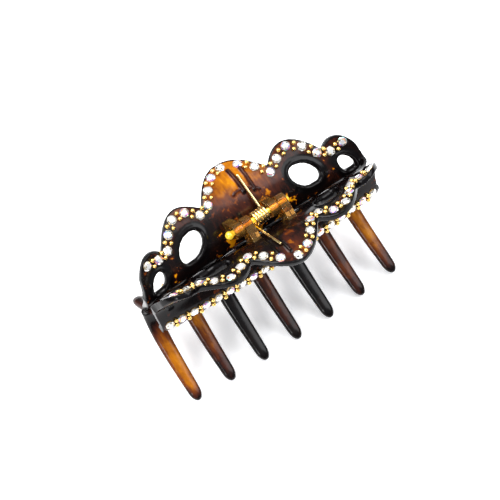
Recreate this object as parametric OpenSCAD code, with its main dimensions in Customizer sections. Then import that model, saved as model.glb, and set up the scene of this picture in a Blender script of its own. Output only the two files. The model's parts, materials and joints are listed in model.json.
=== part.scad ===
// Hair claw: two identical moulded jaws that turn on one wire pin, closed by a torsion spring.
// Each jaw is a scalloped wing, a waist, an outer band and seven curved teeth.
// Units are millimetres, +X runs along the hinge, +Z is up and the tooth tips stand on z = 0.

/* [Jaws] */
// Length of each jaw along the hinge
jaw_length = 81.6; // [60:0.2:110]
// Wall thickness of the wing and the band
wall = 2.4; // [1.6:0.1:3.2]
// Wall thickness at the scalloped rim
rim_wall = 1.7; // [1:0.1:2.4]
// Height of the hinge axis above the tooth tips
hinge_height = 37.1; // [28:0.1:45]
// Half gap between the two walls' middles at the waist
waist_reach = 2.3; // [2:0.1:5]
// Drop from the hinge axis to the waist
waist_drop = 8.4; // [6:0.1:12]
// Reach of the notch line from the axis, at mid length
notch_reach = 12.8; // [9:0.1:18]
// Height of the notch line above the axis, at mid length
notch_rise = 1.5; // [0:0.1:6]
// How far the notch line draws in towards the jaw's ends
plan_bow = 8.7; // [0:0.1:12]
// How far the notch line sinks towards the jaw's ends
rise_bow = 5.5; // [0:0.1:8]

// How much shorter the band is than the wing at each end
end_taper = 1.3; // [0:0.1:3]

/* [Scallops] */
// Half width of the middle scallop
middle_half = 12; // [8:0.5:16]
// Where the second notch is, from mid length
second_notch = 29.2; // [24:0.2:32]
// Height of the middle scallop along the wing
middle_tall = 8.4; // [4:0.1:12]
// Height of the scallops beside it
side_tall = 5.7; // [4:0.1:12]
// Height of the end scallops
end_tall = 3.9; // [2:0.1:8]
// Where the end scallops are tallest, from mid length
end_peak = 35; // [32:0.1:36]
// How far past its peak an end scallop runs out
end_fall = 4.2; // [3:0.1:6]
// Slope of the wing at mid length, in degrees above level
middle_slope = 0; // [-5:1:45]

/* [Windows] */
// Distance of the large windows from mid length
large_window_x = 20.6; // [16:0.1:25]
// Longer diameter of a large window
large_window_length = 9.9; // [5:0.1:12]
// Shorter diameter of a large window
large_window_height = 6.4; // [4:0.1:9]
// Tilt of a large window, in degrees, outer end up
large_window_tilt = -39; // [-60:1:60]
// Distance of the small windows from mid length
small_window_x = 34.1; // [30:0.1:37]
// Shorter diameter of a small window
small_window_length = 3.8; // [3:0.1:6]
// Longer diameter of a small window
small_window_height = 6.8; // [3:0.1:8]
// Tilt of a small window, in degrees, outer end up
small_window_tilt = 32; // [-60:1:60]

/* [Band and teeth] */
// Reach of the band's crest from the axis, at mid length
band_reach = 6.0; // [5:0.1:12]
// Drop of the band's crest below the axis, at mid length
band_drop = 14.9; // [11:0.1:16]
// Drop of the band's lower edge below the axis
band_bottom = 17.9; // [15:0.1:20]
// Number of teeth on each jaw
teeth = 7; // [3:1:9]
// Distance from tooth to tooth
tooth_pitch = 12; // [8:0.5:16]
// Width of a tooth at its root
tooth_width = 5.2; // [3:0.1:5.4]
// Thickness of a tooth at its root
tooth_thick = 3.3; // [2:0.1:4]
// Reach of the end teeth past the axis
tooth_reach = 20.2; // [15:0.1:28]

/* [Hinge] */
// Outside diameter of the knuckles
knuckle_d = 5; // [4:0.1:7]
// Length of one knuckle
knuckle_length = 2.9; // [2:0.1:4]
// Diameter of the hinge pin
pin_d = 1.6; // [1:0.1:2.4]
// Gap between the pin and the bore of a turning knuckle, on the radius
running_gap = 0.05; // [0.02:0.01:0.1]
// How much smaller than the pin the gripping bores are, on the radius
grip = 0.02; // [0:0.01:0.05]

/* [Spring] */
// Diameter of the spring wire
wire_d = 0.85; // [0.5:0.05:1.2]
// Mean radius of the coil
coil_r = 1.95; // [1.5:0.05:3]
// Length of the coil from leg to leg
coil_length = 4.8; // [3:0.1:6]
// Distance of a leg's tip from the axis
leg_reach = 14.2; // [8:0.2:18]
// Slope of the legs, in degrees above level
leg_slope = 23; // [5:1:40]
// Centre of the ribs that guide a leg, from mid length
groove_x = 2.4; // [2:0.1:5]

/* [Trim] */
// Diameter of a crystal
crystal_d = 2.75; // [2:0.1:4]
// Height of a crystal above the plastic
crystal_h = 1.1; // [0.6:0.1:2]
// Diameter of a bead
bead_d = 1.2; // [1:0.1:2]
// How far the trim is set into the plastic
seat = 0.3; // [0.1:0.05:0.6]
// Distance of the crystal row from the rim's edge
row_inset = 2.0; // [1.6:0.1:3]

/* [View] */
// Sub-part to draw

/* [Hidden] */
half = jaw_length / 2;
end_out = end_peak + end_fall;                  // where the end scallops meet the notch line
side_middle = (middle_half + second_notch) / 2;
side_half = (second_notch - middle_half) / 2;
stations = 56;                                  // wall cross-sections along a jaw
steps = [2, 4, 5, 3];                           // steps up each part of the wall's profile
knuckle_gap = 0.3;
inner_knuckle = coil_length / 2 + wire_d / 2 + 0.45;
outer_knuckle = inner_knuckle + knuckle_length + knuckle_gap;
row_end = 35.3;                                 // where the rim's crystal row ends
groove_before = 0.4;                            // crystals on either side of the leg's groove
groove_after = 5.1;
band_row_pitch = 4.26;

function unit(v) = v / norm(v);
function lerp(a, b, t) = a + (b - a) * t;
function bump(d, p = 1.05) = pow(max(0, 1 - d * d), p);

// Height of the scalloped rim above the notch line.
function scallop(a) =
    a < middle_half ? middle_tall * bump(a / middle_half) :
    a < second_notch ? side_tall * bump((a - side_middle) / side_half) :
    end_tall * bump((a - end_peak) / (a < end_peak ? end_peak - second_notch : end_fall), 0.8);

// The wall's profile at a distance a from mid length: lower edge, crest, waist, notch line and
// rim, each as [reach, height] from the hinge axis.
function slope(a) = middle_slope + 0.82 * a + 0.0239 * a * a;
function notch_point(a) = let (e = a / half)
    [notch_reach - plan_bow * e * e, notch_rise - rise_bow * e * e];
function key(a) = let (e = a / half, n = notch_point(a)) [
    [band_reach - 0.4 - 2.1 * e * e, -band_bottom],
    [band_reach - 2.1 * e * e, -band_drop - 0.3 * e * e],
    [waist_reach - 0.2 * e * e, -waist_drop],
    n,
    n + (0.05 + scallop(a)) * [cos(slope(a)), sin(slope(a))]
];
function tangents(a) = let (k = key(a), w = k[3] - k[2], s = (atan2(w[1], w[0]) + slope(a)) / 2)
    [[0.3, 0.95], [-0.3, 0.95], [0.25, 0.97], [cos(s), sin(s)], [cos(slope(a)), sin(slope(a))]];

// A point and its direction on the profile, u from 0 at the lower edge to 4 at the rim.
function profile(a, u) = let (
    k = key(a), g = tangents(a), i = min(3, floor(u)), t = u - i, c = norm(k[i + 1] - k[i]),
    p = k[i] * (2 * t * t * t - 3 * t * t + 1) + k[i + 1] * (3 * t * t - 2 * t * t * t)
        + g[i] * c * (t * t * t - 2 * t * t + t) + g[i + 1] * c * (t * t * t - t * t),
    d = k[i] * (6 * t * t - 6 * t) + k[i + 1] * (6 * t - 6 * t * t)
        + g[i] * c * (3 * t * t - 4 * t + 1) + g[i + 1] * c * (3 * t * t - 2 * t))
    [p, unit(d)];
function thickness(u) = u < 2.6 ? wall : lerp(wall, rim_wall, (u - 2.6) / 1.4);

// The jaw's ends draw in by end_taper below the wing.
function squeeze(u) = 1 - end_taper / half * min(1, max(0, (2.6 - u) / 1.6));

// A point on the wall: side is 1 on the inner, upper face and -1 on the outer, lower one.
function skin(x, u, side) = let (q = profile(abs(x), u), d = q[1], r = side * thickness(u) / 2)
    [x * squeeze(u), q[0][0] - d[1] * r, q[0][1] + d[0] * r];
function skin_normal(x, u, side) = let (
    e = 0.05, a = skin(x + e, u, side) - skin(x - e, u, side),
    b = skin(x, min(4, u + e), side) - skin(x, u - e, side))
    side * unit(cross(a, b));

profile_steps = [for (i = [0:3]) for (j = [0:steps[i] - 1]) i + j / steps[i], 4];
rows = len(profile_steps);
// Past the end scallops the wall's upper edge falls away to the waist.
function top_u(a) = a < end_out ? 4 : 3 - 0.95 * pow(min(1, (a - end_out) / (half - end_out)), 0.5);
function row_at(a, u) = u < 2 ? u : 2 + (u - 2) * (top_u(a) - 2) / 2;

// The stations crowd together at the notches, where the rim turns sharply.
function station(i) = let (v = 2 * i / stations - 1, s = half * (1.16 * v - 0.16 * v * v * v))
    let (near = [for (n = [-second_notch, -middle_half, middle_half, second_notch])
        if (abs(s - n) < 1.1 * half / stations) n])
    len(near) > 0 ? near[0] : s;

module wall_sheet() {
    n = rows;
    m = stations + 1;
    points = [for (side = [1, -1]) for (i = [0:stations]) for (u = profile_steps)
        skin(station(i), row_at(abs(station(i)), u), side)];
    function id(s, i, j) = s * m * n + i * n + j;
    quads = concat(
        [for (i = [0:m - 2]) for (j = [0:n - 2])
            [id(0, i, j), id(0, i, j + 1), id(0, i + 1, j + 1), id(0, i + 1, j)]],
        [for (i = [0:m - 2]) for (j = [0:n - 2])
            [id(1, i + 1, j), id(1, i + 1, j + 1), id(1, i, j + 1), id(1, i, j)]],
        [for (i = [0:m - 2]) [id(0, i, 0), id(0, i + 1, 0), id(1, i + 1, 0), id(1, i, 0)]],
        [for (i = [0:m - 2])
            [id(1, i, n - 1), id(1, i + 1, n - 1), id(0, i + 1, n - 1), id(0, i, n - 1)]],
        [for (j = [0:n - 2]) [id(1, 0, j), id(1, 0, j + 1), id(0, 0, j + 1), id(0, 0, j)]],
        [for (j = [0:n - 2])
            [id(0, m - 1, j), id(0, m - 1, j + 1), id(1, m - 1, j + 1), id(1, m - 1, j)]]);
    polyhedron(points, [for (q = quads) for (t = [[q[0], q[1], q[2]], [q[0], q[2], q[3]]]) t]);
}

// A tube of rings, each ring a list of points, closed at both ends.
module ring_tube(rings) {
    m = len(rings);
    n = len(rings[0]);
    points = [for (r = rings) for (p = r) p];
    quads = [for (i = [0:m - 2]) for (j = [0:n - 1])
        [i * n + j, i * n + (j + 1) % n, (i + 1) * n + (j + 1) % n, (i + 1) * n + j]];
    polyhedron(points, concat(
        [for (q = quads) for (t = [[q[0], q[1], q[2]], [q[0], q[2], q[3]]]) t],
        [for (j = [1:n - 2]) [0, j + 1, j]],
        [for (j = [1:n - 2]) [(m - 1) * n, (m - 1) * n + j, (m - 1) * n + j + 1]]));
}

// A tooth leaves the band steeply and flattens as it crosses under the other jaw.
function tooth_keys(x) = let (e = x / half, y = tooth_reach + 0.9 * (1 - e * e),
    z = hinge_height - 0.5 - 1.3 * e * e) [
    [band_reach - 0.6 - 2.1 * e * e, -band_bottom + 1.6],
    [band_reach - 1.4 - 1.8 * e * e, -band_bottom - 5.6],
    [-y + 13, -z + 6.9],
    [-y, -z]];
function bezier(k, t) = let (s = 1 - t)
    s * s * s * k[0] + 3 * s * s * t * k[1] + 3 * s * t * t * k[2] + t * t * t * k[3];
function bezier_d(k, t) = let (s = 1 - t)
    unit(s * s * (k[1] - k[0]) + 2 * s * t * (k[2] - k[1]) + t * t * (k[3] - k[2]));
function tooth_size(t) = let (tip = t > 0.93 ? sqrt(max(0.04, 1 - pow((t - 0.93) / 0.072, 2))) : 1)
    tip * [tooth_width / 2 * (1 - 0.3 * t * t) + 0.5 * pow(max(0, 1 - t / 0.22), 2),
           tooth_thick / 2 * (1 - 0.32 * t)];
module tooth(x) {
    k = tooth_keys(x);
    ring_tube([for (t = [0, 0.07, 0.14, 0.22, 0.33, 0.44, 0.55, 0.66, 0.77, 0.87, 0.93, 0.965, 0.985, 1])
        let (c = bezier(k, t), d = bezier_d(k, t), s = tooth_size(t))
        [for (j = [0:9]) let (w = 36 * j + 18, cx = pow(abs(cos(w)), 0.8) * sign(cos(w)) * s[0],
            cn = pow(abs(sin(w)), 0.8) * sign(sin(w)) * s[1])
            [x * (1 - end_taper / half * (1 - t)) + cx, c[0] - d[1] * cn, c[1] + d[0] * cn]]]);
}

// A raised rib that climbs the middle scallop beside the spring's leg.
module rib(x) {
    ring_tube([for (u = [2.5, 2.7, 2.85, 3, 3.15, 3.3, 3.45, 3.52])
        let (p = skin(x, u, 1), q = profile(abs(x), u)[1], h = u > 3.5 ? 0.2 : 0.8)
        [for (c = [[-0.5, -0.5], [0.5, -0.5], [0.35, h], [-0.35, h]])
            [x + c[0], p[1] - q[1] * c[1], p[2] + q[0] * c[1]]]]);
}

module along_x(x, length) {
    translate([x, 0, 0]) rotate([90, 0, 90]) linear_extrude(length) children();
}

// A knuckle and the sloping arm that joins it to the wall.
module knuckle(x, length, bore_r) {
    difference() {
        union() {
            translate([x, 0, 0]) rotate([0, 90, 0]) cylinder(d = knuckle_d, h = length, $fn = 48);
            along_x(x, length)
                polygon([[0.6, knuckle_d / 2 - 0.08], [waist_reach + 4.9, -waist_drop + 5.8],
                         [waist_reach + 2.3, -waist_drop + 3], [waist_reach + 0.4, -waist_drop + 0.9],
                         [-0.6, -knuckle_d / 2 + 0.08]]);
        }
        translate([x - 1, 0, 0]) rotate([0, 90, 0]) cylinder(r = bore_r, h = length + 2, $fn = 48);
    }
}

// A cut through the wall, square to it, u says how far up the profile. The left and right
// windows mirror each other.
module window(x, u, long, tall, tilt) {
    q = profile(abs(x), u);
    translate([x, q[0][0], q[0][1]]) rotate([atan2(q[1][1], q[1][0]), 0, 0])
        linear_extrude(8, center = true)
        polygon([for (j = [0:27]) let (a = long / 2 * cos(360 * j / 28), b = tall / 2 * sin(360 * j / 28))
            [sign(x) * (a * cos(tilt) - b * sin(tilt)), a * sin(tilt) + b * cos(tilt)]]);
}

// One jaw on the +Y side, measured from the hinge axis.
module jaw(bore_r) {
    difference() {
        union() {
            wall_sheet();
            for (i = [0:teeth - 1]) tooth(-tooth_pitch * (teeth - 0.5) / 2 + i * tooth_pitch);
            rib(groove_x - 1.45);
            rib(groove_x + 1.45);
        }
        for (s = [-1, 1]) {
            window(s * large_window_x, 2.52, large_window_length, large_window_height, large_window_tilt);
            window(s * small_window_x, 2.29, small_window_length, small_window_height, small_window_tilt);
        }
    }
    knuckle(-outer_knuckle - knuckle_length, knuckle_length, bore_r);
    knuckle(inner_knuckle, knuckle_length, bore_r);
}

module lift() { translate([0, 0, hinge_height]) children(); }
module front_side() { rotate([0, 0, 180]) children(); }

module back_jaw() { color([0.16, 0.07, 0.03]) lift() jaw(pin_d / 2 - grip); }
module front_jaw() { color([0.20, 0.09, 0.04]) lift() front_side() jaw(pin_d / 2 + running_gap); }

module hinge_pin() {
    reach = outer_knuckle + knuckle_length;
    color([0.86, 0.68, 0.36]) lift() {
        translate([-reach - 1.2, 0, 0]) rotate([0, 90, 0])
            cylinder(d = pin_d, h = 2 * reach + 2.2, $fn = 32);
        translate([-reach - 1.35, 0, 0]) sphere(d = pin_d + 0.9, $fn = 32);
        translate([reach + 0.35, 0, 0]) rotate([0, 90, 0])
            cylinder(d1 = pin_d + 0.5, d2 = pin_d, h = 0.65, $fn = 32);
    }
}

// Centre line of the spring: a left-hand coil whose straight legs leave its underside.
coil_turn = 360 * 2 + 180 + leg_slope;
function coil_point(s) = [s * coil_length / 2, coil_r * sin(180 - leg_slope + (1 - s) * coil_turn),
    coil_r * cos(180 - leg_slope + (1 - s) * coil_turn)];
module torsion_spring() {
    n = 84;
    line = concat(
        [let (p = coil_point(-1), l = sqrt(leg_reach * leg_reach - coil_r * coil_r))
            p + l * [0, -cos(leg_slope), sin(leg_slope)]],
        [for (i = [0:n]) coil_point(-1 + 2 * i / n)],
        [let (p = coil_point(1), l = sqrt(leg_reach * leg_reach - coil_r * coil_r))
            p + l * [0, cos(leg_slope), sin(leg_slope)]]);
    m = len(line);
    color([0.9, 0.72, 0.4]) lift()
        ring_tube([for (i = [0:m - 1]) let (
            d = unit(line[min(m - 1, i + 1)] - line[max(0, i - 1)]),
            a = unit([1, 0, 0] - d * d[0]), b = cross(d, a))
            [for (j = [0:6]) line[i] + wire_d / 2 * (a * cos(j * 360 / 7) + b * sin(j * 360 / 7))]]);
}

// Rows of trim. A seat is a point on the plastic with the direction that faces out of it.
// The rim's row keeps the same distance from the scalloped edge all along.
function row_rise(x) = min([for (k = [-10:10]) let (t = k / 10 * row_inset)
    scallop(min(abs(x + t), end_out)) - sqrt(row_inset * row_inset - t * t)]);
function row_u(x) = let (s = row_rise(x), k = key(abs(x)))
    3 + s / (s > 0 ? 0.05 + scallop(abs(x)) : norm(k[3] - k[2]));
function rim_seat(x) = let (u = row_u(x)) [skin(x, u, 1), skin_normal(x, u, 1)];
function band_seat(x) = [skin(x, 0.88, -1), skin_normal(x, 0.88, -1)];

// Positions at equal distances along the rim's row, from x0 to x1.
row_x = [for (i = [0:144]) -36 + i / 2];
row_p = [for (x = row_x) skin(x, row_u(x), 1)];
function lengths(i = 0, s = 0) = i == len(row_p) - 1 ? [s] :
    concat([s], lengths(i + 1, s + norm(row_p[i + 1] - row_p[i])));
row_s = lengths();
x_of_s = [for (i = [0:144]) [row_s[i], row_x[i]]];
s_of_x = [for (i = [0:144]) [row_x[i], row_s[i]]];
function spread(x0, x1, n) = let (a = lookup(x0, s_of_x), b = lookup(x1, s_of_x))
    [for (i = [0:n - 1]) lookup(a + (b - a) * i / (n - 1), x_of_s)];
rim_row = concat(spread(-row_end, groove_before, 11), spread(groove_after, row_end, 9));
band_row = [for (i = [-9:9]) i * band_row_pitch];

module set_on(s) {
    n = s[1];
    translate(s[0]) rotate([0, acos(n[2]), atan2(n[1], n[0])]) children();
}
module crystal() {
    translate([0, 0, -seat]) cylinder(d = crystal_d, h = seat + 0.25, $fn = 24);
    translate([0, 0, 0.25]) cylinder(d1 = crystal_d, d2 = crystal_d * 0.52, h = crystal_h - 0.25, $fn = 24);
}

// Every second crystal of a row, from index k0 to k1; odd picks the rainbow ones.
module crystals(seats, k0, k1, odd) {
    for (k = [k0:k1]) if (k % 2 == odd) set_on(seats[k]) crystal();
}
// Two beads side by side across the row in each gap between crystals.
module beads(seats, k0, k1) {
    for (k = [k0:k1]) {
        c = (seats[k][0] + seats[k + 1][0]) / 2;
        n = unit(seats[k][1] + seats[k + 1][1]);
        w = unit(cross(n, unit(seats[k + 1][0] - seats[k][0])));
        for (s = [-1, 1]) translate(c + s * w * bead_d * 0.72 + n * (bead_d / 2 - seat))
            sphere(d = bead_d, $fn = 24);
    }
}
rim_seats = [for (x = rim_row) rim_seat(x)];
band_seats = [for (x = band_row) band_seat(x)];

clear = [0.92, 0.95, 1];
rainbow = [0.72, 0.78, 0.95];
gold = [0.9, 0.7, 0.35];
module side(name) {
    lift() if (name == "front") front_side() children(); else children();
}
module rim_crystals(jaw_name, k0, k1, odd) {
    color(odd == 1 ? rainbow : clear) side(jaw_name) crystals(rim_seats, k0, k1, odd);
}
module rim_beads(jaw_name, k0, k1) { color(gold) side(jaw_name) beads(rim_seats, k0, k1); }
module band_crystals(jaw_name, odd) {
    color(odd == 1 ? rainbow : clear) side(jaw_name) crystals(band_seats, 0, 18, odd);
}
module band_beads(jaw_name) { color(gold) side(jaw_name) beads(band_seats, 0, 17); }

module back_rim_clear_left() { rim_crystals("back", 0, 5, 0); }
module back_rim_clear_middle() { rim_crystals("back", 6, 13, 0); }
module back_rim_clear_right() { rim_crystals("back", 14, 19, 0); }
module back_rim_rainbow_left() { rim_crystals("back", 0, 5, 1); }
module back_rim_rainbow_middle() { rim_crystals("back", 6, 13, 1); }
module back_rim_rainbow_right() { rim_crystals("back", 14, 19, 1); }
module back_rim_beads_left() { rim_beads("back", 0, 5); }
module back_rim_beads_middle() { rim_beads("back", 6, 9); rim_beads("back", 11, 12); }
module back_rim_beads_right() { rim_beads("back", 13, 18); }
module back_band_clear() { band_crystals("back", 0); }
module back_band_rainbow() { band_crystals("back", 1); }
module back_band_beads() { band_beads("back"); }
module front_rim_clear_left() { rim_crystals("front", 14, 19, 0); }
module front_rim_clear_middle() { rim_crystals("front", 6, 13, 0); }
module front_rim_clear_right() { rim_crystals("front", 0, 5, 0); }
module front_rim_rainbow_left() { rim_crystals("front", 14, 19, 1); }
module front_rim_rainbow_middle() { rim_crystals("front", 6, 13, 1); }
module front_rim_rainbow_right() { rim_crystals("front", 0, 5, 1); }
module front_rim_beads_left() { rim_beads("front", 13, 18); }
module front_rim_beads_middle() { rim_beads("front", 6, 9); rim_beads("front", 11, 12); }
module front_rim_beads_right() { rim_beads("front", 0, 5); }
module front_band_clear() { band_crystals("front", 0); }
module front_band_rainbow() { band_crystals("front", 1); }
module front_band_beads() { band_beads("front"); }

back_jaw();
front_jaw();
hinge_pin();
torsion_spring();
back_rim_clear_left();
back_rim_clear_middle();
back_rim_clear_right();
back_rim_rainbow_left();
back_rim_rainbow_middle();
back_rim_rainbow_right();
back_rim_beads_left();
back_rim_beads_middle();
back_rim_beads_right();
back_band_clear();
back_band_rainbow();
back_band_beads();
front_rim_clear_left();
front_rim_clear_middle();
front_rim_clear_right();
front_rim_rainbow_left();
front_rim_rainbow_middle();
front_rim_rainbow_right();
front_rim_beads_left();
front_rim_beads_middle();
front_rim_beads_right();
front_band_clear();
front_band_rainbow();
front_band_beads();
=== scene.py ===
import bpy, bmesh, math, json
import numpy as np
from mathutils import Matrix, Vector, kdtree


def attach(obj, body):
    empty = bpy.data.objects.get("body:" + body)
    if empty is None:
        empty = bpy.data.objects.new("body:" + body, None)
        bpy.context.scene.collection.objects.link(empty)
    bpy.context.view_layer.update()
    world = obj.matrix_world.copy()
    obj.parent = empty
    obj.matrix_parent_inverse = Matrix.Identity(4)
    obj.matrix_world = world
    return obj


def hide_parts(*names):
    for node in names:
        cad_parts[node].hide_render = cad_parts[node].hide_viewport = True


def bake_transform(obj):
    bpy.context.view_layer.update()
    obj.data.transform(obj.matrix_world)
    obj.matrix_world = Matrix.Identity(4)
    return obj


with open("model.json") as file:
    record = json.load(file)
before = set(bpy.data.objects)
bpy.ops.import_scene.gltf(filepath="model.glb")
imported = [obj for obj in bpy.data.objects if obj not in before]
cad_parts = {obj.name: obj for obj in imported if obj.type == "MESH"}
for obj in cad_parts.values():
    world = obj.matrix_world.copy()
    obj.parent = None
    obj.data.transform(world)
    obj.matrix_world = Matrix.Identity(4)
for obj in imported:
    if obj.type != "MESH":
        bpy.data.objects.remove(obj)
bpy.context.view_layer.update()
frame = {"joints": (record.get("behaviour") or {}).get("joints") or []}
MM = 0.001
H = frame["joints"][0]["pos_m"][2] / MM      # height of the hinge axis
rng = np.random.default_rng(7)

# ---------------------------------------------------------------- the jaw's shape, in mm from the hinge axis
HALF, WALL, RIM = 40.8, 2.4, 1.7      # half the length; wall at the waist and at the rim
MIDDLE, NOTCH2, PEAK, FALL = 12.0, 29.2, 35.0, 4.2      # where the lobes along the rim end and peak
END = PEAK + FALL
TALL = (8.4, 5.7, 3.9)      # heights of the middle, side and end lobes
TAPER = 1.3      # how much each end draws in below the wing
INSET = 2.0      # from the rim to the row of stones
TEETH_N, PITCH, FIRST = 7, 12.0, -39.0      # count, spacing and the first tooth's place
KNUCKLE_R, BORE_R, KNUCKLE_L = 2.5, 0.88, 2.9
STONE_R, BEAD_R, BEAD_SIDE = 1.5, 0.67, 0.93      # BEAD_SIDE is how far a bead is from the row's line
SEAT = 0.3      # how deep the trim is sunk


def bump(d, p=1.05):
    return max(0.0, 1 - d * d) ** p


def scallop(a):
    if a < MIDDLE:
        return TALL[0] * bump(a / MIDDLE)
    if a < NOTCH2:
        return TALL[1] * bump((a - (MIDDLE + NOTCH2) / 2) / ((NOTCH2 - MIDDLE) / 2))
    d = a - PEAK
    return TALL[2] * bump(d / (NOTCH2 - PEAK) if d < 0 else d / FALL, 0.8)


def slope(a):
    return 0.82 * a + 0.0239 * a * a


def cs(deg):
    r = math.radians(deg)
    return np.array([math.cos(r), math.sin(r)])


def keys(a):
    e = a / HALF
    n = np.array([12.8 - 8.7 * e * e, 1.5 - 5.5 * e * e])
    return [np.array([5.6 - 2.1 * e * e, -17.9]), np.array([6.0 - 2.1 * e * e, -14.9 - 0.3 * e * e]),
            np.array([2.3 - 0.2 * e * e, -8.4]), n, n + (0.05 + scallop(a)) * cs(slope(a))]


def profile(a, u):
    k = keys(a)
    w = k[3] - k[2]
    s = (math.degrees(math.atan2(w[1], w[0])) + slope(a)) / 2
    g = [np.array([.3, .95]), np.array([-.3, .95]), np.array([.25, .97]), cs(s), cs(slope(a))]
    i = min(3, int(u))
    t = u - i
    c = np.linalg.norm(k[i + 1] - k[i])
    p = (k[i] * (2 * t**3 - 3 * t * t + 1) + k[i + 1] * (3 * t * t - 2 * t**3)
         + g[i] * c * (t**3 - 2 * t * t + t) + g[i + 1] * c * (t**3 - t * t))
    d = (k[i] * (6 * t * t - 6 * t) + k[i + 1] * (6 * t - 6 * t * t)
         + g[i] * c * (3 * t * t - 4 * t + 1) + g[i + 1] * c * (3 * t * t - 2 * t))
    return p, d / np.linalg.norm(d)


def thickness(u):
    return WALL if u < 2.6 else WALL + (RIM - WALL) * (u - 2.6) / 1.4


def squeeze(u):
    """The jaw's ends draw in below the wing."""
    return 1 - TAPER / HALF * min(1, max(0, (2.6 - u) / 1.6))


def skin(x, u, r):
    """A point r times half the wall off its middle: 1 is the inner face, -1 the outer."""
    p, d = profile(abs(x), u)
    h = r * thickness(u) / 2
    return np.array([x * squeeze(u), p[0] - d[1] * h, p[1] + d[0] * h])


def top_u(a):
    return 4 if a < END else 3 - 0.95 * min(1, (a - END) / (HALF - END))**0.5


def skin_normal(x, u, side):
    e = 0.05
    a = skin(x + e, u, side) - skin(x - e, u, side)
    b = skin(x, min(4, u + e), side) - skin(x, u - e, side)
    n = side * np.cross(a, b)
    return n / np.linalg.norm(n)


def row_u(x):
    t = np.arange(-10, 11) / 10 * INSET
    s = min(scallop(min(abs(x + k), END)) - math.sqrt(max(0, INSET * INSET - k * k)) for k in t)
    k = keys(abs(x))
    return 3 + s / (0.05 + scallop(abs(x)) if s > 0 else np.linalg.norm(k[3] - k[2]))


# ---------------------------------------------------------------- mesh helpers
def make(name, verts, faces, mats, smooth=True, face_mat=None):
    me = bpy.data.meshes.new(name)
    me.from_pydata([tuple(v) for v in verts], [], faces)
    for m in mats:
        me.materials.append(m)
    if face_mat is not None:
        me.polygons.foreach_set("material_index", face_mat)
    me.polygons.foreach_set("use_smooth", [smooth] * len(me.polygons))
    me.update()
    o = bpy.data.objects.new(name, me)
    bpy.context.scene.collection.objects.link(o)
    return o


def tube(rings):
    """A capped skin over a run of rings."""
    m, n = len(rings), len(rings[0])
    verts = [p for r in rings for p in r]
    faces = [(i * n + j, i * n + (j + 1) % n, (i + 1) * n + (j + 1) % n, (i + 1) * n + j)
             for i in range(m - 1) for j in range(n)]
    faces += [tuple(range(n - 1, -1, -1)), tuple((m - 1) * n + j for j in range(n))]
    return verts, faces


def round_tube(path, radius, n=16):
    """Rings round a path, radius a number or a function of the place along it from 0 to 1."""
    path = [np.array(p, float) for p in path]
    rings = []
    ref = np.array([1.0, 0, 0])
    for i, p in enumerate(path):
        d = path[min(len(path) - 1, i + 1)] - path[max(0, i - 1)]
        d /= np.linalg.norm(d)
        a = ref - d * ref.dot(d)
        a /= np.linalg.norm(a)
        b = np.cross(d, a)
        r = radius(i / (len(path) - 1)) if callable(radius) else radius
        rings.append([p + r * (a * math.cos(w) + b * math.sin(w)) for w in np.arange(n) * 2 * math.pi / n])
    return tube(rings)


def join_parts(parts):
    verts, faces = [], []
    for v, f in parts:
        k = len(verts)
        verts += list(v)
        faces += [tuple(i + k for i in q) for q in f]
    return verts, faces


def apply_mods(o):
    dg = bpy.context.evaluated_depsgraph_get()
    me = bpy.data.meshes.new_from_object(o.evaluated_get(dg))
    o.modifiers.clear()
    old = o.data
    o.data = me
    bpy.data.meshes.remove(old)


def fix_normals(o):
    bm = bmesh.new()
    bm.from_mesh(o.data)
    bmesh.ops.recalc_face_normals(bm, faces=bm.faces)
    bm.to_mesh(o.data)
    bm.free()


# ---------------------------------------------------------------- materials
def new_mat(name):
    m = bpy.data.materials.new(name)
    m.use_nodes = True
    nt = m.node_tree
    b = nt.nodes["Principled BSDF"]
    return m, nt, b


def node(nt, kind, **kw):
    n = nt.nodes.new(kind)
    for k, v in kw.items():
        if k in n.inputs:
            n.inputs[k].default_value = v
        else:
            setattr(n, k, v)
    return n


def ramp(nt, stops):
    r = nt.nodes.new("ShaderNodeValToRGB")
    e = r.color_ramp.elements
    while len(e) > 1:
        e.remove(e[-1])
    e[0].position, e[0].color = stops[0][0], (*stops[0][1], 1)
    for p, c in stops[1:]:
        q = e.new(p)
        q.color = (*c, 1)
    return r


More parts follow.
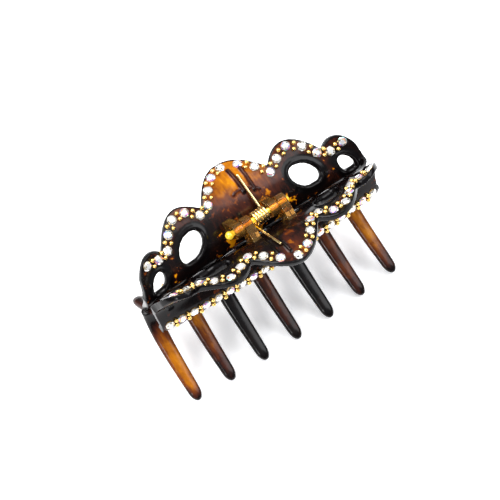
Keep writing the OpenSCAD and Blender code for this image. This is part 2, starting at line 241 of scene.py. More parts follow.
def tortoiseshell(name, seed):
    """Mottled plastic: the amber and flecks attributes say how light each place is."""
    m, nt, b = new_mat(name)
    L = nt.links.new
    tc = node(nt, "ShaderNodeTexCoord")
    mp = node(nt, "ShaderNodeMapping")
    mp.inputs["Location"].default_value = (seed, seed * .7, seed * 1.3)
    L(tc.outputs["Object"], mp.inputs["Vector"])
    big = node(nt, "ShaderNodeTexNoise", Scale=120.0, Detail=3.0, Roughness=0.55, Distortion=0.9)
    fine = node(nt, "ShaderNodeTexNoise", Scale=300.0, Detail=3.0, Roughness=0.6, Distortion=0.35)
    streak_map = node(nt, "ShaderNodeMapping")
    streak_map.inputs["Scale"].default_value = (1.0, 0.35, 0.16)
    streak = node(nt, "ShaderNodeTexNoise", Scale=900.0, Detail=2.0, Roughness=0.5, Distortion=0.4)
    L(mp.outputs["Vector"], big.inputs["Vector"])
    L(mp.outputs["Vector"], fine.inputs["Vector"])
    L(mp.outputs["Vector"], streak_map.inputs["Vector"])
    L(streak_map.outputs["Vector"], streak.inputs["Vector"])
    at = node(nt, "ShaderNodeAttribute", attribute_name="amber", attribute_type="GEOMETRY")
    fl = node(nt, "ShaderNodeAttribute", attribute_name="flecks", attribute_type="GEOMETRY")

    def math_node(op, a, c):
        n = node(nt, "ShaderNodeMath", operation=op)
        for i, v in enumerate((a, c)):
            if isinstance(v, (int, float)):
                n.inputs[i].default_value = v
            else:
                L(v, n.inputs[i])
        return n.outputs[0]
    mottle = math_node("MULTIPLY", math_node("SUBTRACT", big.outputs["Fac"], 0.5), 0.55)
    v = math_node("ADD", at.outputs["Fac"], mottle)
    v = math_node("ADD", v, math_node("MULTIPLY", math_node("SUBTRACT", streak.outputs["Fac"], 0.5), 0.35))
    cut = node(nt, "ShaderNodeMapRange")
    cut.inputs["From Min"].default_value = 0.57
    cut.inputs["From Max"].default_value = 0.66
    L(fine.outputs["Fac"], cut.inputs["Value"])
    spots = math_node("MULTIPLY", cut.outputs["Result"], fl.outputs["Fac"])
    v = math_node("ADD", v, math_node("MULTIPLY", spots, 1.05))
    r = ramp(nt, [(0.0, (.0022, .0016, .0018)), (0.22, (.006, .0026, .0022)), (0.42, (.042, .009, .004)),
                  (0.6, (.12, .026, .002)), (0.8, (.34, .105, .001)), (1.0, (.62, .25, .003))])
    L(v, r.inputs["Fac"])
    L(r.outputs["Color"], b.inputs["Base Color"])
    b.inputs["IOR"].default_value = 1.46
    b.inputs["Specular IOR Level"].default_value = 0.2
    wave = node(nt, "ShaderNodeTexNoise", Scale=210.0, Detail=2.0, Roughness=0.5)
    L(mp.outputs["Vector"], wave.inputs["Vector"])
    rr = node(nt, "ShaderNodeMapRange")
    rr.inputs["To Min"].default_value = 0.10
    rr.inputs["To Max"].default_value = 0.24
    L(fine.outputs["Fac"], rr.inputs["Value"])
    L(rr.outputs["Result"], b.inputs["Roughness"])
    bp = node(nt, "ShaderNodeBump", Strength=0.18, Distance=0.0004)
    L(wave.outputs["Fac"], bp.inputs["Height"])
    L(bp.outputs["Normal"], b.inputs["Normal"])
    return m


def clear_amber(name):
    """Thin amber plastic that lets the pin show through it."""
    m, nt, b = new_mat(name)
    tc = node(nt, "ShaderNodeTexCoord")
    nz = node(nt, "ShaderNodeTexNoise", Scale=420.0, Detail=2.0, Roughness=0.5, Distortion=0.6)
    nt.links.new(tc.outputs["Object"], nz.inputs["Vector"])
    r = ramp(nt, [(0.3, (.40, .17, .04)), (0.52, (.66, .34, .07)), (0.75, (.85, .52, .12))])
    nt.links.new(nz.outputs["Fac"], r.inputs["Fac"])
    nt.links.new(r.outputs["Color"], b.inputs["Base Color"])
    b.inputs["Transmission Weight"].default_value = 0.9
    b.inputs["Roughness"].default_value = 0.03
    b.inputs["IOR"].default_value = 1.35
    return m


def gold(name, base, rough=0.16, dark=0.55):
    m, nt, b = new_mat(name)
    L = nt.links.new
    tc = node(nt, "ShaderNodeTexCoord")
    nz = node(nt, "ShaderNodeTexNoise", Scale=1500.0, Detail=3.0, Roughness=0.6)
    L(tc.outputs["Object"], nz.inputs["Vector"])
    low, high = tuple(c * dark for c in base), tuple(min(1, c * 1.12) for c in base)
    r = ramp(nt, [(0.25, low), (0.55, base), (0.85, high)])
    L(nz.outputs["Fac"], r.inputs["Fac"])
    L(r.outputs["Color"], b.inputs["Base Color"])
    b.inputs["Metallic"].default_value = 1.0
    mr = node(nt, "ShaderNodeMapRange")
    mr.inputs["To Min"].default_value = rough * 0.7
    mr.inputs["To Max"].default_value = rough * 1.4
    L(nz.outputs["Fac"], mr.inputs["Value"])
    L(mr.outputs["Result"], b.inputs["Roughness"])
    bp = node(nt, "ShaderNodeBump", Strength=0.08, Distance=0.0001)
    L(nz.outputs["Fac"], bp.inputs["Height"])
    L(bp.outputs["Normal"], b.inputs["Normal"])
    return m


def stone(name):
    m, nt, b = new_mat(name)
    L = nt.links.new
    # The facet colours hold painted reflections and a painted highlight on each stone's table.
    at = node(nt, "ShaderNodeAttribute", attribute_name="facet", attribute_type="GEOMETRY")
    tc = node(nt, "ShaderNodeTexCoord")
    nz = node(nt, "ShaderNodeTexNoise", Scale=2600.0, Detail=1.0)
    L(tc.outputs["Object"], nz.inputs["Vector"])
    mx = node(nt, "ShaderNodeMix", data_type="RGBA", blend_type="OVERLAY")
    mx.inputs["Factor"].default_value = 0.35
    L(at.outputs["Color"], mx.inputs[6])
    L(nz.outputs["Fac"], mx.inputs[7])
    L(mx.outputs[2], b.inputs["Base Color"])
    b.inputs["Metallic"].default_value = 0.6
    b.inputs["Roughness"].default_value = 0.06
    b.inputs["Coat Weight"].default_value = 1.0
    b.inputs["Coat Roughness"].default_value = 0.02
    b.inputs["IOR"].default_value = 1.6
    return m


shell_back = tortoiseshell("tortoiseshell_back", 0.0)
shell_front = tortoiseshell("tortoiseshell_front", 0.031)
shell_knuckle = clear_amber("tortoiseshell_amber")
pin_gold = gold("pin_gold", (1.0, .70, .10), 0.25)
# Painted glow: the pin gets a yellow emission, standing in for the light it catches inside the amber.
pin_painted_glow = pin_gold.node_tree.nodes["Principled BSDF"].inputs
pin_painted_glow["Emission Color"].default_value = (1.0, .68, .04, 1)
pin_painted_glow["Emission Strength"].default_value = 0.7
wire_gold = gold("wire_gold", (.98, .74, .33), 0.13, 0.7)
bead_gold = gold("bead_gold", (1.0, .66, .20), 0.16, 0.75)
clear_mat = stone("clear_stone")
rainbow_mat = stone("rainbow_stone")


# ---------------------------------------------------------------- jaws
def superellipse(n, p=0.8):
    w = (np.arange(n) + 0.5) * 2 * math.pi / n
    return np.c_[np.sign(np.cos(w)) * abs(np.cos(w))**p, np.sign(np.sin(w)) * abs(np.sin(w))**p]


def tooth(x):
    e = x / HALF
    y, z = 20.2 + 0.9 * (1 - e * e), H - 0.5 - 1.3 * e * e
    k = np.array([[5.4 - 2.1 * e * e, -16.3], [4.6 - 1.8 * e * e, -23.5], [-y + 13, -z + 6.9], [-y, -z]])
    sec = superellipse(20)
    rings = []
    for t in np.r_[np.linspace(0, .93, 44), .94, .95, .96, .97, .98, .99, .996, 1]:
        s = 1 - t
        c = s**3 * k[0] + 3 * s * s * t * k[1] + 3 * s * t * t * k[2] + t**3 * k[3]
        d = s * s * (k[1] - k[0]) + 2 * s * t * (k[2] - k[1]) + t * t * (k[3] - k[2])
        d /= np.linalg.norm(d)
        tip = math.sqrt(max(.04, 1 - ((t - .93) / .072)**2)) if t > .93 else 1
        a = tip * (2.6 * (1 - .3 * t * t) + 0.5 * max(0, 1 - t / .22)**2)
        b = tip * 1.65 * (1 - .32 * t)
        mid = x * (1 - TAPER / HALF * (1 - t))
        rings.append([(mid + p[0] * a, c[0] - d[1] * p[1] * b, c[1] + d[0] * p[1] * b) for p in sec])
    return tube(rings)


def surface_tube(points, radius, lift, n=10):
    """A rounded rib that lies on the inner face along (x, u) points."""
    path = [skin(x, u, 1) + skin_normal(x, u, 1) * lift for x, u in points]
    return round_tube(path, radius, n)


def wall_sheet(nx=250):
    v = np.linspace(-1, 1, nx + 1)
    xs = HALF * (1.12 * v - 0.12 * v**3)
    for n in (-NOTCH2, -MIDDLE, MIDDLE, NOTCH2):
        xs[np.argmin(abs(xs - n))] = n
    us = np.r_[np.linspace(0, 1, 7)[:-1], np.linspace(1, 2, 11)[:-1], np.linspace(2, 3, 22)[:-1],
               np.linspace(3, 4, 18)]
    verts, n = [], len(us)
    for side in (1, -1):
        for x in xs:
            tu = top_u(abs(x))
            for u in us:
                verts.append(skin(x, u if u < 2 else 2 + (u - 2) * (tu - 2) / 2, side))
    m = nx + 1
    q = lambda s, i, j: s * m * n + i * n + j
    f = []
    for i in range(nx):
        for j in range(n - 1):
            f.append((q(0, i, j), q(0, i, j + 1), q(0, i + 1, j + 1), q(0, i + 1, j)))
            f.append((q(1, i + 1, j), q(1, i + 1, j + 1), q(1, i, j + 1), q(1, i, j)))
        f.append((q(0, i, 0), q(0, i + 1, 0), q(1, i + 1, 0), q(1, i, 0)))
        f.append((q(1, i, n - 1), q(1, i + 1, n - 1), q(0, i + 1, n - 1), q(0, i, n - 1)))
    for j in range(n - 1):
        f.append((q(1, 0, j), q(1, 0, j + 1), q(0, 0, j + 1), q(0, 0, j)))
        f.append((q(0, nx, j), q(0, nx, j + 1), q(1, nx, j + 1), q(1, nx, j)))
    return verts, f


WINDOWS = [(20.6, 2.52, 4.95, 3.2, -39), (34.1, 2.29, 1.9, 3.4, 32)]    # x, u, radii, tilt


def window_ring(x, u, rx, ry, tilt, grow, h, n=64):
    """The window's outline on a plane h off the wall's middle, grown by grow."""
    p, d = profile(abs(x), u)
    ct, st = math.cos(math.radians(tilt)), math.sin(math.radians(tilt))
    ring = []
    for w in np.arange(n) * 2 * math.pi / n:
        a, b = (rx + grow) * math.cos(w), (ry + grow) * math.sin(w)
        lx, ly = math.copysign(1, x) * (a * ct - b * st), a * st + b * ct
        ring.append(np.array([x + lx, p[0] + ly * d[0] - h * d[1], p[1] + ly * d[1] + h * d[0]]))
    return ring


def window_cutter(*w):
    return tube([window_ring(*w, 0.35, h) for h in (-5.5, 5.5)])


def window_rim(x, u, rx, ry, tilt):
    """A rounded rim round the window, which follows the curve of the wall."""
    n = 72
    flat = window_ring(x, u, rx, ry, tilt, 1.0, 0, n)
    us = np.linspace(max(1.3, u - 1.0), min(3.9, u + 1.3), 60)
    path = []
    for q in flat:
        line = [profile(abs(q[0]), k)[0] for k in us]
        j = int(np.argmin([np.hypot(*(c - q[1:])) for c in line]))
        path.append(np.array([q[0], *line[j]]))
    path = [(path[i - 1] + 2 * path[i] + path[(i + 1) % n]) / 4 for i in range(n)]
    nrm = np.cross(path[0] - path[n // 3], path[0] - path[2 * n // 3])
    nrm /= np.linalg.norm(nrm)
    rings, turns = [], np.arange(12) * 2 * math.pi / 12
    for i in range(n):
        t = path[(i + 1) % n] - path[i - 1]
        t /= np.linalg.norm(t)
        a = np.cross(t, nrm)
        a /= np.linalg.norm(a)
        rings.append([path[i] + a * math.cos(k) + 1.42 * nrm * math.sin(k) for k in turns])
    verts = [q for r in rings for q in r]
    faces = [(i * 12 + j, i * 12 + (j + 1) % 12, ((i + 1) % n) * 12 + (j + 1) % 12, ((i + 1) % n) * 12 + j)
             for i in range(n) for j in range(12)]
    return verts, faces


RIBS = ((1.4, 1.4, 2.76, 3.50), (4.6, 4.9, 2.70, 3.55))      # x at the foot and top, u at the foot and top
ARCH = [(-1.9, 2.815), (-1.3, 2.835), (-0.3, 2.85), (1.0, 2.83), (2.4, 2.80), (4.0, 2.77), (5.2, 2.73),
        (6.0, 2.67)]


def rib_points(rib):
    x0, x1, u0, u1 = rib
    return [(x0 + (x1 - x0) * t, u0 + (u1 - u0) * t) for t in np.linspace(0, 1, 26)]


def arch_points():
    t, src = np.linspace(0, 1, 28), np.linspace(0, 1, len(ARCH))
    return list(zip(np.interp(t, src, [q[0] for q in ARCH]), np.interp(t, src, [q[1] for q in ARCH])))


def build_jaw_mesh():
    v, f = wall_sheet()
    body = make("jaw_tmp", v, f, [])
    fix_normals(body)
    cv, cf = join_parts([window_cutter(s * w[0], *w[1:]) for s in (-1, 1) for w in WINDOWS])
    cut = make("cut_tmp", cv, cf, [])
    fix_normals(cut)
    bo = body.modifiers.new("b", "BOOLEAN")
    bo.operation, bo.object, bo.solver = "DIFFERENCE", cut, "EXACT"
    apply_mods(body)
    bpy.data.objects.remove(cut)
    parts = [tooth(FIRST + PITCH * i) for i in range(TEETH_N)]
    parts += [window_rim(s * w[0], *w[1:]) for s in (-1, 1) for w in WINDOWS]
    parts += [surface_tube(rib_points(r), 0.42, 0.2) for r in RIBS]
    parts.append(surface_tube(arch_points(), 0.34, 0.0))
    ev, ef = join_parts(parts)
    extra = make("extra_tmp", ev, ef, [])
    fix_normals(extra)
    bpy.ops.object.select_all(action="DESELECT")
    extra.select_set(True)
    body.select_set(True)
    bpy.context.view_layer.objects.active = body
    bpy.ops.object.join()
    rm = body.modifiers.new("r", "REMESH")
    rm.mode, rm.voxel_size, rm.use_smooth_shade = "VOXEL", 0.27, True
    sm = body.modifiers.new("s", "SMOOTH")
    sm.factor, sm.iterations = 0.5, 5
    apply_mods(body)
    co = np.empty(len(body.data.vertices) * 3)
    body.data.vertices.foreach_get("co", co)
    faces = [tuple(p.vertices) for p in body.data.polygons]
    bpy.data.objects.remove(body)
    return co.reshape(-1, 3), faces


jaw_co, jaw_faces = build_jaw_mesh()

TEETH = {  # amber down each tooth in view
    0: (.20, .60, .84, .68, .04), 1: (.84, .86, .68, .46, .10), 2: (.12, .04, .02, .06, .05),
    3: (.40, .54, .50, .44, .14),
    4: (.04, .03, .02, .08, .05), 5: (.70, .68, .54, .46, .16), 6: (.35, .76, .86, .54, .06)}


def nearness(co, points, near, far):
    """1 within near of any of the points, falling to 0 at far."""
    tree = kdtree.KDTree(len(points))
    for i, q in enumerate(points):
        tree.insert(Vector(q), i)
    tree.balance()
    d = np.array([tree.find(Vector(q))[2] for q in co])
    return np.clip((far - d) / (far - near), 0, 1)


# Painted shade: a mask for darkening the amber along the rim's edge, where the edge face falls in shadow.
rim_line = [skin(x, top_u(abs(x)), r) for x in np.linspace(-HALF, HALF, 500) for r in (-1, 0, 1)]
rim_painted_shade = nearness(jaw_co, rim_line, 0.25, 0.75)
near_rib = nearness(jaw_co, [skin(x, u, 1) for r in RIBS for x, u in rib_points(r)], 0.5, 0.85)
near_arch = nearness(jaw_co, [skin(x, u, 1) for x, u in arch_points()], 0.3, 0.6)
window_line = [q for w in WINDOWS for k in (-1, 1) for q in window_rim(k * w[0], *w[1:])[0]]
near_window = nearness(jaw_co, window_line, 0.3, 1.0)


def paint(co, front):
    """Amber and fleck weights over the jaw, from where a point is on it, with painted shade along the rim's
    edge.
    """
    x, y, z = co[:, 0], co[:, 1], co[:, 2]
    amber = np.full(len(co), 0.14)
    fleck = np.full(len(co), 0.25)
    if not front:
        mid = np.exp(-((x - 1.0) / 10.5)**2) * np.clip((y - 3.0) / 9.5, 0, 1)**0.8
        amber += 0.60 * mid
        amber += 0.24 * np.exp(-((x - 17) / 9)**2) * np.clip((z + 6) / 6, 0, 1)
        amber += 0.14 * np.exp(-((x + 20) / 9)**2) * np.clip((z + 6) / 6, 0, 1)
        amber += 0.12 * np.clip((y - 11) / 5, 0, 1)
        amber += 0.12 * np.exp(-((x - 28) / 7)**2) * np.clip((z + 12) / 5, 0, 1)
        fleck += 0.75 * np.exp(-((z + 6.5) / 4.5)**2) * (y < 8)
        fleck += 0.45 * np.exp(-((x - 28) / 6)**2) * np.exp(-((z + 4) / 5)**2)
        fleck *= np.where(y > 9, 0.2, 1.0)
        edge = np.clip((abs(x) - 39.2) / 1.2, 0, 1)
        amber -= 0.2 * edge
    else:
        amber += 0.22 * np.exp(-((x) / 8)**2) * np.clip((y - 6) / 9, 0, 1)
        fleck += 0.45 * np.exp(-((z + 7.5) / 4.2)**2)
    # Painted shade along the rim's edge, where the edge face is in shadow; the amber is also darkened along
    # the ribs, the arch and round the windows.
    dark = np.maximum.reduce([rim_painted_shade, near_rib * 0.55, near_arch * 0.35, near_window * 0.9])
    amber = amber * (1 - dark) - 0.1 * dark
    fleck = fleck * (1 - dark)
    root = -18.2
    if not front:
        i = np.clip(np.round((x - FIRST) / PITCH).astype(int), 0, TEETH_N - 1)
        t = np.clip((root - z) / (H + root - 0.5), 0, 1)
        v = np.zeros(len(co))
        for k, vals in TEETH.items():
            v[i == k] = np.interp(t[i == k], (0, .25, .5, .76, .93), vals)
        off = (x - (PITCH * i + FIRST) * (1 - TAPER / HALF * (1 - t))) / 2.5
        v -= 0.34 * off * off * (v > .3)
        w = np.clip((root - z) / 1.5, 0, 1)
        amber = amber * (1 - w) + v * w
        fleck = fleck * (1 - w) + 0.05 * w
    else:
        w = np.clip((root - z) / 1.5, 0, 1)
        amber = amber * (1 - w) + 0.3 * w
    return amber, fleck


def jaw(name, cad, body, mat, front):
    co = jaw_co.copy()
    amber, fleck = paint(co, front)
    if front:
        co[:, :2] *= -1
    co[:, 2] += H
    o = make(name, co * MM, jaw_faces, [mat])
    for key, val in (("amber", amber), ("flecks", fleck)):
        a = o.data.attributes.new(key, "FLOAT", "POINT")
        a.data.foreach_set("value", val.astype(np.float32))
    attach(o, body)
    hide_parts(cad)
    return o


jaw("back_wing_and_teeth", "back_jaw", "back_body", shell_back, False)
jaw("front_wing_and_teeth", "front_jaw", "front_body", shell_front, True)


def knuckle(name, x0, length, front):
    """A knuckle ring and the sloping arm that joins it to the wall."""
    out = []
    for w in np.radians(np.linspace(76, 270 - 14, 40)):
        out.append((KNUCKLE_R * math.cos(w), KNUCKLE_R * math.sin(w)))
    out += [(2.7, -7.5), (4.6, -5.4), (7.2, -2.6)]      # the foot, inside the wall
    bm = bmesh.new()
    vs = [bm.verts.new((x0, p[0], p[1])) for p in out]
    face = bm.faces.new(vs)
    ext = bmesh.ops.extrude_face_region(bm, geom=[face])
    moved = [g for g in ext["geom"] if isinstance(g, bmesh.types.BMVert)]
    bmesh.ops.translate(bm, verts=moved, vec=(length, 0, 0))
    bmesh.ops.recalc_face_normals(bm, faces=bm.faces)
    me = bpy.data.meshes.new(name)
    bm.to_mesh(me)
    bm.free()
    me.materials.append(shell_knuckle)
    o = bpy.data.objects.new(name, me)
    bpy.context.scene.collection.objects.link(o)
    turns = np.arange(40) * 2 * math.pi / 40
    cv, cf = tube([[(x0 + dx, BORE_R * math.cos(w), BORE_R * math.sin(w)) for w in turns]
                   for dx in (-1, length + 1)])
    cut = make("bore_tmp", cv, cf, [])
    fix_normals(cut)
    bo = o.modifiers.new("b", "BOOLEAN")
    bo.operation, bo.object, bo.solver = "DIFFERENCE", cut, "EXACT"
    bv = o.modifiers.new("v", "BEVEL")
    bv.width, bv.segments, bv.limit_method, bv.angle_limit = 0.22, 3, "ANGLE", math.radians(40)
    apply_mods(o)
    bpy.data.objects.remove(cut)
    co = np.empty(len(o.data.vertices) * 3)
    o.data.vertices.foreach_get("co", co)
    co = co.reshape(-1, 3)
    near = np.hypot(co[:, 1], co[:, 2])
    amber = np.clip(0.72 - 0.03 * (near - 1), 0.35, 0.8)
    if front:
        co[:, :2] *= -1
    co[:, 2] += H
    o.data.vertices.foreach_set("co", (co * MM).ravel())
    for key, val in (("amber", amber), ("flecks", np.full(len(co), 0.5))):
        a = o.data.attributes.new(key, "FLOAT", "POINT")
        a.data.foreach_set("value", val.astype(np.float32))
    o.data.polygons.foreach_set("use_smooth", [True] * len(o.data.polygons))
    o.data.update()
    wn = o.modifiers.new("n", "WEIGHTED_NORMAL")
    wn.keep_sharp = True
    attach(o, "front_body" if front else "back_body")
    return o


for side_name, fr in (("back", False), ("front", True)):
    knuckle(side_name + "_knuckle_outer", -9.375, KNUCKLE_L, fr)
    knuckle(side_name + "_knuckle_inner", 3.275, KNUCKLE_L, fr)


# ---------------------------------------------------------------- trim
xs = [-36 + i / 2 for i in range(145)]
pts = [skin(x, row_u(x), 1) for x in xs]
acc = np.r_[0, np.cumsum([np.linalg.norm(pts[i + 1] - pts[i]) for i in range(144)])]


def spread(x0, x1, n):
    a, b = np.interp([x0, x1], xs, acc)
    return list(np.interp(a + (b - a) * np.arange(n) / (n - 1), acc, xs))


rim_x = spread(-35.3, 0.4, 11) + spread(5.1, 35.3, 9)
rim_seats = [(skin(x, row_u(x), 1), skin_normal(x, row_u(x), 1)) for x in rim_x]
band_seats = [(skin(i * 4.26, 0.88, -1), skin_normal(i * 4.26, 0.88, -1)) for i in range(-9, 10)]


def axes(n, turn=0.0):
    a = np.cross(n, [0.3, 0.2, 1.0])
    a /= np.linalg.norm(a)
    b = np.cross(n, a)
    return a * math.cos(turn) + b * math.sin(turn), -a * math.sin(turn) + b * math.cos(turn)


def stone_mesh(seat, flat=1.0):
    """A brilliant-cut stone: girdle, a ring of kites and a ring of stars up to the table."""
    p, n = seat
    a, b = axes(n, rng.uniform(0, 1))
    R = STONE_R
    rows = [(R, -SEAT, 0), (R, 0.1, 0), (R * .93, 0.3 * flat, 1), (R * .78, 0.55 * flat, 0),
            (R * .50, 0.75 * flat, 1)]
    v, f = [], []
    N = 8
    for r, h, off in rows:
        for j in range(N):
            w = (j + off * 0.5) * 2 * math.pi / N
            v.append(p + n * h + r * (a * math.cos(w) + b * math.sin(w)))
    for k in range(len(rows) - 1):
        same = rows[k][2] == rows[k + 1][2]
        for j in range(N):
            q, r_ = (j + 1) % N, k * N
            s = (k + 1) * N
            if same:
                f.append((r_ + j, r_ + q, s + q, s + j))
            elif rows[k][2] == 0:
                f += [(r_ + j, r_ + q, s + j), (s + j, r_ + q, s + q)]
            else:
                f += [(r_ + j, s + q, s + j), (r_ + j, r_ + q, s + q)]
    last = (len(rows) - 1) * N
    f.append(tuple(range(last + N - 1, last - 1, -1))[::-1])
    f.append(tuple(range(N - 1, -1, -1)))
    return v, f


def facet_colours_and_painted_reflections(rainbow, count):
    """Girdle and crown dark to champagne, table near white, a few tinted facets on the rainbow ones; the
    light, grey and dark facets are painted reflections and the near-white table a painted highlight.
    """
    out = []
    tints = [(.50, .16, .80), (.98, .42, .10), (.12, .25, .85), (.20, .72, .70), (.95, .20, .35)]
    patch = rng.integers(8)
    for i in range(count):
        c = rng.random()
        if i == count - 2:
            col = (.95, .95, .94)
        elif i < 8:
            col = (.62, .38, .12)
        elif i < 24 and c < 0.30:
            col = (.24, .17, .08)
        elif c < 0.14:
            col = (.06, .05, .05)
        elif c < 0.36:
            col = (.42, .36, .24)
        else:
            col = (.88, .87, .83)
        if rainbow and i >= 8 and i != count - 2 and ((i - patch) % 8 < 3 or rng.random() < .15):
            t = tints[(patch + i // 11) % 5]
            col = tuple(.25 * q + .75 * w for q, w in zip(col, t))
        out.append(col)
    return out


def lift_and_turn(v, front):
    v = np.array(v)
    if front:
        v[:, :2] *= -1
    v[:, 2] += H
    return v * MM


def stones(name, seats, ks, odd, jaw_name):
    front = jaw_name == "front"
    verts, faces, cols = [], [], []
    for k in ks:
        if k % 2 != odd:
            continue
        v, f = stone_mesh(seats[k], 0.75 if "band" in name else 1.0)
        base = len(verts)
        verts += v
        cols += facet_colours_and_painted_reflections(odd, len(f))
        faces += [tuple(i + base for i in q) for q in f]
    if not faces:
        return
    mat = rainbow_mat if odd else clear_mat
    o = make(name + "_stones", lift_and_turn(verts, front), faces, [mat], smooth=False)
    fix_normals(o)
    # Per-facet colours: painted reflections, with a painted highlight on the table.
    a = o.data.color_attributes.new("facet", "FLOAT_COLOR", "CORNER")
    data = []
    for poly, c in zip(o.data.polygons, cols):
        data += [*c, 1.0] * len(poly.vertices)
    a.data.foreach_set("color", data)
    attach(o, jaw_name + "_body")
    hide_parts(name)


def bead_mesh(c, n, r):
    a, b = axes(n)
    prof = [(0.0, -r * 1.0), (r * .80, -r * .9), (r * 1.0, -r * .60), (r * .86, -r * .42)]
    prof += [(r * math.cos(t), r * math.sin(t)) for t in np.radians([-20, 0, 18, 36, 54, 70, 82])]
    prof.append((0.0, r))
    v, f, N = [], [], 18
    for i, (rad, h) in enumerate(prof):
        if rad == 0.0:
            v.append(c + n * h)
        else:
            v += [c + n * h + rad * (a * math.cos(w) + b * math.sin(w))
                  for w in np.arange(N) * 2 * math.pi / N]
    s = 1
    f += [(0, s + (j + 1) % N, s + j) for j in range(N)]
    for k in range(len(prof) - 3):
        low, up = s + k * N, s + (k + 1) * N
        f += [(low + j, low + (j + 1) % N, up + (j + 1) % N, up + j) for j in range(N)]
    top = s + (len(prof) - 2) * N
    f += [(s + (len(prof) - 3) * N + j, s + (len(prof) - 3) * N + (j + 1) % N, top) for j in range(N)]
    return v, f


def beads(name, seats, ks, jaw_name):
    front = jaw_name == "front"
    parts = []
    r = BEAD_R
    for k in ks:
        c = (seats[k][0] + seats[k + 1][0]) / 2
        n = seats[k][1] + seats[k + 1][1]
        n /= np.linalg.norm(n)
        w = np.cross(n, seats[k + 1][0] - seats[k][0])
        w /= np.linalg.norm(w)
        for s in (-1, 1):
            parts.append(bead_mesh(c + s * w * BEAD_SIDE + n * (r - SEAT), n, r))
    v, f = join_parts(parts)
    o = make(name + "_row", lift_and_turn(v, front), f, [bead_gold])
    fix_normals(o)
    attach(o, jaw_name + "_body")
    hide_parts(name)


for jn in ("back", "front"):
    lo, hi = ("left", "right") if jn == "back" else ("right", "left")
    for odd, word in ((0, "clear"), (1, "rainbow")):
        stones(f"{jn}_rim_{word}_{lo}", rim_seats, range(0, 6), odd, jn)
        stones(f"{jn}_rim_{word}_middle", rim_seats, range(6, 14), odd, jn)
        stones(f"{jn}_rim_{word}_{hi}", rim_seats, range(14, 20), odd, jn)
        stones(f"{jn}_band_{word}", band_seats, range(0, 19), odd, jn)
    beads(f"{jn}_rim_beads_{lo}", rim_seats, range(0, 6), jn)
    beads(f"{jn}_rim_beads_middle", rim_seats, [6, 7, 8, 9, 11, 12], jn)
    beads(f"{jn}_rim_beads_{hi}", rim_seats, range(13, 19), jn)
    beads(f"{jn}_band_beads", band_seats, range(0, 18), jn)

# ---------------------------------------------------------------- pin and spring
# the pin's outline, as (x, radius): ball end at the left, riveted end at the right
prof = [(-11.975, 0.0), (-11.95, .28), (-11.85, .56), (-11.6, .88), (-11.3, 1.08), (-10.95, 1.22),
        (-10.725, 1.25), (-10.4, 1.21), (-10.1, 1.07), (-9.9, .92), (-9.75, .8), (-9.0, .8), (9.6, .8),
        (9.73, 1.05), (9.85, 1.04), (10.3, .84), (10.375, .7), (10.375, 0.0)]
turns = np.arange(32) * 2 * math.pi / 32
rings = [[(px, max(r, 0.01) * math.cos(w), max(r, 0.01) * math.sin(w) + H) for w in turns] for px, r in prof]
v, f = tube(rings)
pin = make("hinge_wire", np.array(v) * MM, f, [pin_gold])
fix_normals(pin)
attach(pin, "back_body")
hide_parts("hinge_pin")

# the legs' slope, the coil's radius and length, the legs' reach and the wire's radius
SLOPE, CR, CL, REACH, WR = 23, 1.95, 4.8, 14.2, 0.425
TURN = 360 * 2 + 180 + SLOPE


def coil(s):
    w = math.radians(180 - SLOPE + (1 - s) * TURN)
    return np.array([s * CL / 2, CR * math.sin(w), CR * math.cos(w)])


leg = math.sqrt(REACH * REACH - CR * CR)
run, rise = math.cos(math.radians(SLOPE)), math.sin(math.radians(SLOPE))
along = np.r_[np.linspace(0.04, 0.96, 14), 0.99, 0.998, 1.0]
line = [coil(-1) + leg * t * np.array([0, -run, rise]) for t in along[::-1]]
line += [coil(-1 + 2 * i / 320) for i in range(321)]
line += [coil(1) + leg * t * np.array([0, run, rise]) for t in along]
total = len(line) - 1


def wire_radius(t):
    """Full, but rounded off over the wire's last rings."""
    if t in (0.0, 1.0):
        return 0.55 * WR
    return 0.9 * WR if min(t, 1 - t) * total < 1.5 else WR


v, f = round_tube(line, wire_radius)
spring = make("spring_wire", (np.array(v) + [0, 0, H]) * MM, f, [wire_gold])
fix_normals(spring)
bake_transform(spring)
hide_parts("torsion_spring")

# ---------------------------------------------------------------- floor, light, camera
fm, nt, b = new_mat("floor_white")
nz = node(nt, "ShaderNodeTexNoise", Scale=3.0)
r = ramp(nt, [(0.0, (.90, .90, .905)), (1.0, (.94, .94, .94))])
nt.links.new(nz.outputs["Fac"], r.inputs["Fac"])
nt.links.new(r.outputs["Color"], b.inputs["Base Color"])
b.inputs["Roughness"].default_value = 0.9
b.inputs["Specular IOR Level"].default_value = 0.1
b.inputs["Emission Color"].default_value = (1, 1, 1, 1)
b.inputs["Emission Strength"].default_value = 0.3
corners = [(-3, -3), (3, -3), (3, 3), (-3, 3)]
floor = make("floor", [(*q, -0.0003) for q in corners], [(0, 1, 2, 3)], [fm])

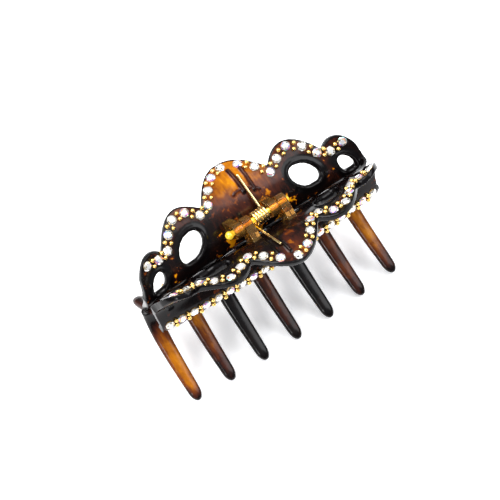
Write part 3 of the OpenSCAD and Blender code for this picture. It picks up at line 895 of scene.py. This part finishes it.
world = bpy.data.worlds.new("studio")
bpy.context.scene.world = world
world.use_nodes = True
wt = world.node_tree
wc = node(wt, "ShaderNodeTexCoord")
wx = node(wt, "ShaderNodeSeparateXYZ")
wr = ramp(wt, [(0.0, (.16, .17, .18)), (0.35, (.30, .32, .35)), (0.65, (.62, .66, .72)),
               (1.0, (1.0, 1.0, 1.0))])
wt.links.new(wc.outputs["Generated"], wx.inputs[0])
wt.links.new(wx.outputs[2], wr.inputs["Fac"])
wt.links.new(wr.outputs["Color"], wt.nodes["Background"].inputs[0])
wt.nodes["Background"].inputs[1].default_value = 0.85


def area(name, loc, size, power, colour=(1, 1, 1), target=(0, 0, 0.02)):
    l = bpy.data.lights.new(name, "AREA")
    l.shape, l.size, l.energy, l.color = "SQUARE", size, power, colour
    o = bpy.data.objects.new(name, l)
    bpy.context.scene.collection.objects.link(o)
    o.location = loc
    o.rotation_euler = (Vector(target) - Vector(loc)).to_track_quat("-Z", "Y").to_euler()


area("key", (-0.3, 0.25, 0.9), 0.7, 14.0)
area("fill", (0.6, -0.3, 0.8), 0.7, 7.0, (0.97, 0.98, 1))
area("glint", (-0.5, -0.3, 0.35), 0.12, 1.2)

# A long lens, aimed so that the hinge is a little above and right of the picture's middle.
AZIMUTH, ELEVATION, ROLL = -33.17, 55.4, -4.72      # degrees
RIGHT, UP, AHEAD = 2.65, 9.74, 800.6      # mm from the camera's axis and lens to the hinge's middle
LENS, SENSOR = 200.1, 36
az, el, roll = (math.radians(q) for q in (AZIMUTH, ELEVATION, ROLL))
ahead = np.array([-math.sin(az) * math.cos(el), math.cos(az) * math.cos(el), -math.sin(el)])
level = np.array([math.cos(az), math.sin(az), 0])
above = np.cross(level, ahead)
right = math.cos(roll) * level + math.sin(roll) * above
up = math.cos(roll) * above - math.sin(roll) * level
place = (np.array([0, 0, H]) - RIGHT * right - UP * up - AHEAD * ahead) * MM
cam = bpy.data.cameras.new("camera")
cam.sensor_width, cam.lens = SENSOR, LENS
cam.clip_start, cam.clip_end = 0.01, 20
co = bpy.data.objects.new("camera", cam)
bpy.context.scene.collection.objects.link(co)
co.matrix_world = Matrix([(right[i], up[i], -ahead[i], place[i]) for i in range(3)] + [(0, 0, 0, 1)])
bpy.context.scene.camera = co
bpy.context.scene.view_settings.view_transform = "Standard"
